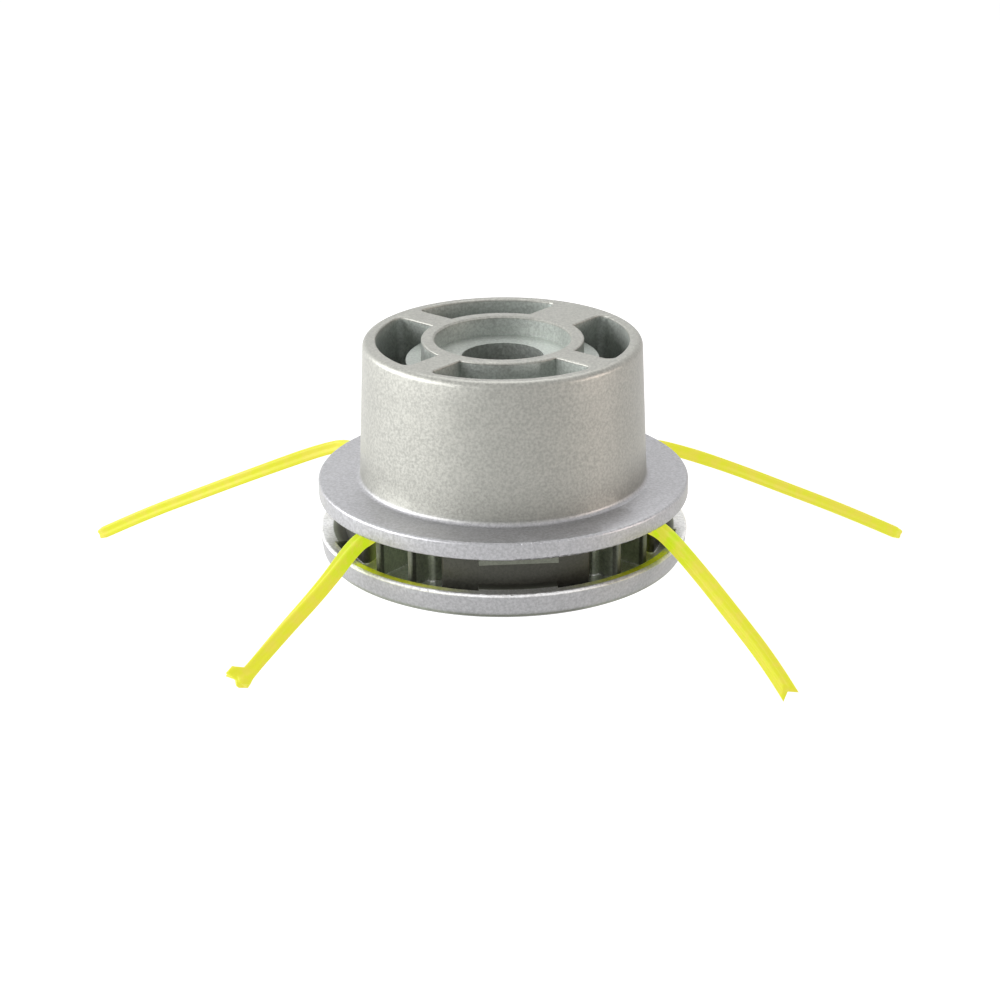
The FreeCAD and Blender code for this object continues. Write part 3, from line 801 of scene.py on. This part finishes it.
def painted(piece, material):
    """The piece with this one material on all its faces."""
    piece.data.materials.clear()
    piece.data.materials.append(material)
    return piece


def spline_points(name, points):
    """The points that a route's smooth curve passes through."""
    curve = bpy.data.curves.new(name, "CURVE")
    curve.dimensions = "3D"
    curve.resolution_u = ROUTE_STEPS
    spline = curve.splines.new("NURBS")
    spline.points.add(len(points) - 1)
    for control, point in zip(spline.points, points):
        control.co = (*point, 1.0)
    spline.order_u = 3
    spline.use_endpoint_u = True
    carrier = bpy.data.objects.new(name, curve)
    bpy.context.scene.collection.objects.link(carrier)
    mesh = bpy.data.meshes.new_from_object(carrier)
    path = [vertex.co.copy() for vertex in mesh.vertices]
    bpy.data.meshes.remove(mesh)
    bpy.data.objects.remove(carrier)
    bpy.data.curves.remove(curve)
    return path


def arc_points(side):
    """The bend round a side island, from the front to the back."""
    path = []
    for i in range(LOOP_STEPS + 1):
        angle = math.radians(LOOP_HALF_ANGLE * (2 * i / LOOP_STEPS - 1))
        x = side * (LOOP_CENTRE - LOOP_RADIUS * math.cos(angle))
        path.append(Vector((x, LOOP_RADIUS * math.sin(angle), LOOP_LEVEL)))
    return path


def stations(path):
    """Each point of a path with the way across, up and ahead there and how far along it lies."""
    places = []
    travelled = 0.0
    for i, point in enumerate(path):
        before = path[max(i - 1, 0)]
        after = path[min(i + 1, len(path) - 1)]
        ahead = (after - before).normalized()
        across = ahead.cross(Vector((0, 0, 1))).normalized()
        up = across.cross(ahead)
        if i:
            travelled += (point - before).length
        places.append((point, across, up, ahead, travelled))
    return places


def section(line):
    """The line's section: four rounded corners with slightly hollow sides between them."""
    middle = line.corner_radius - line.hollow / 2
    points = []
    for i in range(LINE_SIDES):
        angle = 2 * math.pi * i / LINE_SIDES
        reach = middle + line.hollow / 2 * math.cos(4 * angle)
        points.append((reach * math.cos(angle), reach * math.sin(angle)))
    return points


def plain_tip(spot, left):
    """An end that keeps the section as it is."""
    return spot


def swept_line(name, path, line, turn, shape=plain_tip):
    """Sweeps the section along a path while it turns; shape may move a point of the section near the tip."""
    bm = bmesh.new()
    along = bm.verts.layers.float.new("along")
    corner = bm.verts.layers.int.new("corner")
    outline = section(line)
    places = stations(path)
    length = places[-1][4]
    radius = line.corner_radius
    ring = bmesh.ops.create_circle(bm, cap_ends=False, radius=radius, segments=LINE_SIDES)["verts"]
    for i, vertex in enumerate(ring):
        vertex[corner] = i
    for index, (point, across, up, ahead, travelled) in enumerate(places):
        if index:
            edges = {
                edge
                for vertex in ring
                for edge in vertex.link_edges
                if edge.other_vert(vertex) in ring
            }
            grown = bmesh.ops.extrude_edge_only(bm, edges=list(edges))["geom"]
            ring = [item for item in grown if isinstance(item, bmesh.types.BMVert)]
        angle = math.radians(turn[0] + (turn[1] - turn[0]) * travelled / length)
        for vertex in ring:
            x, y = outline[vertex[corner]]
            spot = Vector((
                x * math.cos(angle) - y * math.sin(angle),
                x * math.sin(angle) + y * math.cos(angle),
                0.0,
            ))
            spot = shape(spot, length - travelled)
            vertex.co = point + across * spot.x + up * spot.y + ahead * spot.z
            vertex[along] = travelled
    rims = [edge for edge in bm.edges if edge.is_boundary]
    caps = bmesh.ops.holes_fill(bm, edges=rims, sides=LINE_SIDES)["faces"]
    bmesh.ops.poke(bm, faces=caps)
    bmesh.ops.recalc_face_normals(bm, faces=bm.faces)
    for face in bm.faces:
        face.smooth = True
    mesh = bpy.data.meshes.new(name)
    bm.to_mesh(mesh)
    bm.free()
    piece = bpy.data.objects.new(name, mesh)
    bpy.context.scene.collection.objects.link(piece)
    return piece


def ease(value):
    """A smooth rise from 0 to 1 while the value goes from 0 to 1."""
    clipped = min(max(value, 0.0), 1.0)
    return clipped * clipped * (3 - 2 * clipped)


# The torn tip: which way it flares, over what length and how far, and its lobes
TORN_FACING = Vector((0.73, 0.68, 0.0))
FLARE_START = 2.5 * MM
FLARE_LENGTH = 1.0 * MM
FLARE_GROWTH = 0.75
FLARE_SHIFT = 0.75 * MM
LOBE_LENGTH = 0.8 * MM
LOBE_SIZE = 0.5 * MM


def torn_tip(spot, left):
    """A battered end: flared to one side, with two lobes and a shallow notch between them."""
    aside = spot.dot(TORN_FACING)
    spread = ease((FLARE_START - left) / FLARE_LENGTH)
    spot = spot + TORN_FACING * spread * (FLARE_GROWTH * aside + FLARE_SHIFT)
    if left < LOBE_LENGTH:
        wave = math.cos(spot.dot(TORN_FACING) / LOBE_SIZE)
        spot.z += LOBE_SIZE * wave * (1 - left / LOBE_LENGTH)
    return spot


# The split tip: which way its prongs part, how far back it reaches, and the slope and depth of its notch
SPLIT_FACING = Vector((-0.74, 0.67, 0.0))
SPLIT_LENGTH = 3.2 * MM
PRONG_SLOPE = 1.5
NOTCH_DEPTH = 2.0


def split_tip(spot, left):
    """A swallow-tailed end: two prongs with a deep notch between them."""
    aside = spot.dot(SPLIT_FACING)
    spot = spot.copy()
    if left < SPLIT_LENGTH:
        spot.z += (1 - left / SPLIT_LENGTH) * MM * (PRONG_SLOPE * abs(aside) / MM - NOTCH_DEPTH)
    return spot


# The cut tips: how long the pinch is and how much it draws in each way across
PINCH_LENGTH = 0.9 * MM
PINCH_ACROSS = 0.18
PINCH_UP = 0.24


def cut_tip(spot, left):
    """A plain pinched cut with its edges drawn in."""
    drawn = ease(1 - left / PINCH_LENGTH)
    spot = spot.copy()
    spot.x *= 1 - PINCH_ACROSS * drawn
    spot.y *= 1 - PINCH_UP * drawn
    return spot


TIPS = {"front_left": torn_tip, "front_right": split_tip, "back_left": cut_tip, "back_right": cut_tip}


class HEAD_OT_castings(bpy.types.Operator):
    """Gives the housing and the disc their blasted skin"""

    bl_idname = "head.castings"
    bl_label = "Castings"

    def execute(self, context):
        material = cast_material(context.scene.cast_finish)
        for node in ("upper_housing", "lower_disc"):
            piece = merged_copy(node, f"{node}_casting")
            seated(painted(piece, material), "cast_aluminium", node)
        return {"FINISHED"}


class HEAD_OT_screws(bpy.types.Operator):
    """Plates the four clamp screws"""

    bl_idname = "head.screws"
    bl_label = "Clamp screws"

    def execute(self, context):
        piece = merged_copy("clamp_screws", "clamp_screws_plated")
        seated(painted(piece, screw_material()), "screw_steel", "clamp_screws")
        return {"FINISHED"}


class HEAD_OT_line_stubs(bpy.types.Operator):
    """Sweeps the four free stubs of twisted line"""

    bl_idname = "head.line_stubs"
    bl_label = "Line stubs"

    def execute(self, context):
        line = context.scene.trimmer_line
        material = line_material(line)
        for name, points in ROUTES.items():
            path = spline_points(f"{name}_route", points)
            stub = swept_line(f"{name}_line_stub", path, line, TURNS[name], TIPS[name])
            seated(painted(stub, material), "trimmer_line", f"{name}_line_end")
        return {"FINISHED"}


class HEAD_OT_line_bends(bpy.types.Operator):
    """Sweeps the two bends of line held inside the head"""

    bl_idname = "head.line_bends"
    bl_label = "Held bends"

    def execute(self, context):
        line = context.scene.trimmer_line
        material = bpy.data.materials["fluorescent_nylon_line"]
        for side, name in ((-1, "left"), (1, "right")):
            turn = (-TURNS[f"front_{name}"][0], TURNS[f"back_{name}"][0])
            bend = swept_line(f"{name}_line_bend", arc_points(side), line, turn)
            seated(painted(bend, material), "trimmer_line", f"{name}_line_loop")
        return {"FINISHED"}


def soft_box(name, place, width, height, power, tint):
    """A rectangular lamp that faces the head."""
    lamp = bpy.data.lights.new(name, "AREA")
    lamp.color = tint
    lamp.shape = "RECTANGLE"
    lamp.size = width
    lamp.size_y = height
    lamp.energy = power
    holder = bpy.data.objects.new(name, lamp)
    holder.location = place
    holder.rotation_euler = (Vector(AIM) - Vector(place)).to_track_quat("-Z", "Y").to_euler()
    bpy.context.scene.collection.objects.link(holder)


def seen_directly(nodes, links):
    """1 for rays that show a surface: straight from the camera, mirrored or through glass."""
    rays = nodes.new("ShaderNodeLightPath")
    first = nodes.new("ShaderNodeMath")
    first.operation = "MAXIMUM"
    links.new(rays.outputs["Is Camera Ray"], first.inputs[0])
    links.new(rays.outputs["Is Glossy Ray"], first.inputs[1])
    second = nodes.new("ShaderNodeMath")
    second.operation = "MAXIMUM"
    links.new(first.outputs[0], second.inputs[0])
    links.new(rays.outputs["Is Transmission Ray"], second.inputs[1])
    return second.outputs[0]


def floor_material():
    """Grey floor that shows as paper white where it is seen directly."""
    material, nodes, links, shader = new_material("studio_floor")
    shader.inputs["Base Color"].default_value = FLOOR_COLOUR
    shader.inputs["Roughness"].default_value = 0.9
    shader.inputs["Specular IOR Level"].default_value = 0.0
    lift = nodes.new("ShaderNodeMath")
    lift.operation = "MULTIPLY"
    lift.inputs[1].default_value = FLOOR_LIFT
    links.new(seen_directly(nodes, links), lift.inputs[0])
    shader.inputs["Emission Color"].default_value = (1, 1, 1, 1)
    links.new(lift.outputs[0], shader.inputs["Emission Strength"])
    return material


def white_world(surround):
    """A plain pale surround, white where it is seen."""
    world = bpy.data.worlds.new("studio_surround")
    world.use_nodes = True
    nodes = world.node_tree.nodes
    links = world.node_tree.links
    nodes.clear()
    output = nodes.new("ShaderNodeOutputWorld")
    background = nodes.new("ShaderNodeBackground")
    background.inputs["Color"].default_value = (1, 1, 1, 1)
    strength = nodes.new("ShaderNodeMapRange")
    strength.inputs["To Min"].default_value = surround
    strength.inputs["To Max"].default_value = 1.0
    links.new(seen_directly(nodes, links), strength.inputs["Value"])
    links.new(strength.outputs["Result"], background.inputs["Strength"])
    links.new(background.outputs["Background"], output.inputs["Surface"])
    bpy.context.scene.world = world


class HEAD_OT_stage(bpy.types.Operator):
    """Sets the floor, the lamps, the surround and the camera"""

    bl_idname = "head.stage"
    bl_label = "Stage"

    def execute(self, context):
        studio = context.scene.studio
        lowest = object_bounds()[0].z - studio.floor_drop
        bm = bmesh.new()
        bmesh.ops.create_grid(bm, x_segments=1, y_segments=1, size=FLOOR_HALF_WIDTH)
        bmesh.ops.translate(bm, verts=bm.verts, vec=(0, 0, lowest))
        mesh = bpy.data.meshes.new("floor")
        bm.to_mesh(mesh)
        bm.free()
        floor = bpy.data.objects.new("floor", mesh)
        context.scene.collection.objects.link(floor)
        painted(floor, floor_material())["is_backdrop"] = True
        for name, place, width, height, power, tint in LAMPS:
            soft_box(name, place, width, height, getattr(studio, power), tint)
        white_world(studio.surround)
        camera = bpy.data.cameras.new("camera")
        camera.lens = CAMERA_LENS
        camera.sensor_width = SENSOR_WIDTH
        camera.clip_start = NEAREST_SEEN
        holder = bpy.data.objects.new("camera", camera)
        holder.location = CAMERA_PLACE
        holder.rotation_euler = Euler([math.radians(angle) for angle in CAMERA_TILT])
        context.scene.collection.objects.link(holder)
        context.scene.camera = holder
        context.scene.view_settings.view_transform = "Standard"
        return {"FINISHED"}


class HEAD_PT_looks(bpy.types.Panel):
    """Lists the steps and the settings of the head's looks"""

    bl_label = "Trimmer head"
    bl_idname = "HEAD_PT_looks"
    bl_space_type = "VIEW_3D"
    bl_region_type = "UI"
    bl_category = "Head"

    def draw(self, context):
        column = self.layout.column()
        for operator in STEPS:
            column.operator(operator.bl_idname)
        for name, group in SETTINGS.items():
            column.separator()
            for prop in group.__annotations__:
                column.prop(getattr(context.scene, name), prop)


STEPS = (HEAD_OT_castings, HEAD_OT_screws, HEAD_OT_line_stubs, HEAD_OT_line_bends, HEAD_OT_stage)
SETTINGS = {"trimmer_line": TrimmerLine, "cast_finish": CastFinish, "studio": Studio}


def register():
    for group in SETTINGS.values():
        bpy.utils.register_class(group)
    for step in STEPS:
        bpy.utils.register_class(step)
    bpy.utils.register_class(HEAD_PT_looks)
    for name, group in SETTINGS.items():
        setattr(bpy.types.Scene, name, bpy.props.PointerProperty(type=group))


def unregister():
    for name in SETTINGS:
        delattr(bpy.types.Scene, name)
    bpy.utils.unregister_class(HEAD_PT_looks)
    for step in reversed(STEPS):
        bpy.utils.unregister_class(step)
    for group in reversed(list(SETTINGS.values())):
        bpy.utils.unregister_class(group)


def main():
    register()
    bpy.ops.head.castings()
    bpy.ops.head.screws()
    bpy.ops.head.line_stubs()
    bpy.ops.head.line_bends()
    bpy.ops.head.stage()


if __name__ == "__main__":
    main()
